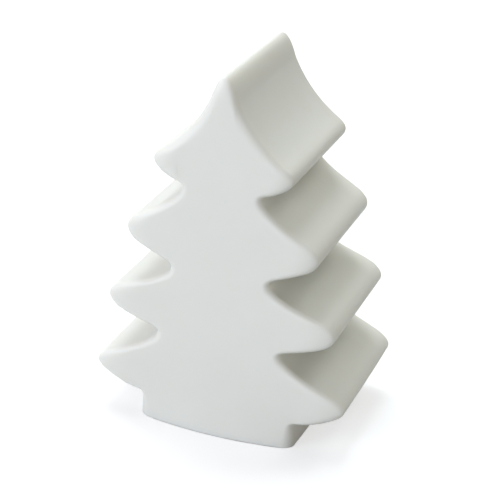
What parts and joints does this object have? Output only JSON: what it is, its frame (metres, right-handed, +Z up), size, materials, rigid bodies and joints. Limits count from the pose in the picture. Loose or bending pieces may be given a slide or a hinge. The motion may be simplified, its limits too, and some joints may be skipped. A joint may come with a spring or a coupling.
{
  "type": "lighted tree",
  "caption": "Small free-standing night light: a soft hollow tiered tree shell that glows from a battery light module pushed into its trunk.",
  "frame": {"origin": "centre of the base, on the surface that the tree stands on", "axes": "+Z up to the tree's tip, -Y towards the viewer (front face), +X to the tree's right as seen from the front"},
  "size_m": [0.0522, 0.0358, 0.0734],
  "materials": {
    "vinyl": "translucent milky white, soft satin",
    "housing": "white moulded, fine matt",
    "screw_steel": "zinc plated",
    "cell_steel": "bright nickel plated",
    "contact_steel": "nickel plated spring steel",
    "board": "green solder mask",
    "phenolic": "brown paper laminate",
    "black_plastic": "moulded",
    "lens": "milky epoxy",
    "tinned": "tin plated",
    "red_wire": "PVC insulation",
    "black_wire": "PVC insulation"
  },
  "bodies": {
    "tree": {"tree_shell": "vinyl", "base_housing": "housing", "top_cover": "housing", "cover_screw_1": "screw_steel", "cover_screw_2": "screw_steel", "circuit_board": "board", "resistor": "black_plastic", "led_lens": "lens", "led_anode_lead": "tinned", "led_cathode_lead": "tinned", "button_cell_1": "cell_steel", "button_cell_2": "cell_steel", "button_cell_3": "cell_steel", "contact_spring": "contact_steel", "spring_plate": "contact_steel", "contact_plate": "contact_steel", "switch_case": "contact_steel", "switch_base": "phenolic", "switch_terminal_1": "tinned", "switch_terminal_2": "tinned", "switch_terminal_3": "tinned", "wire_red": "red_wire", "wire_black": "black_wire"},
    "battery_door": {"battery_door": "housing"},
    "door_screw": {"door_screw": "screw_steel"},
    "switch_knob": {"switch_knob": "black_plastic"}
  },
  "joints": [
    {"name": "switch_slide", "type": "slide", "parent": "tree", "child": "switch_knob", "axis": [1, 0, 0], "range_m": [0, 0.002]},
    {"name": "door_lift", "type": "slide", "parent": "tree", "child": "battery_door", "axis": [0, 0, -1], "range_m": [0, 0.008]},
    {"name": "door_screw_turn", "type": "hinge", "parent": "battery_door", "child": "door_screw", "pos_m": [0, -0.0102, 0.0035], "axis": [0, 0, -1], "continuous": true}
  ]
}
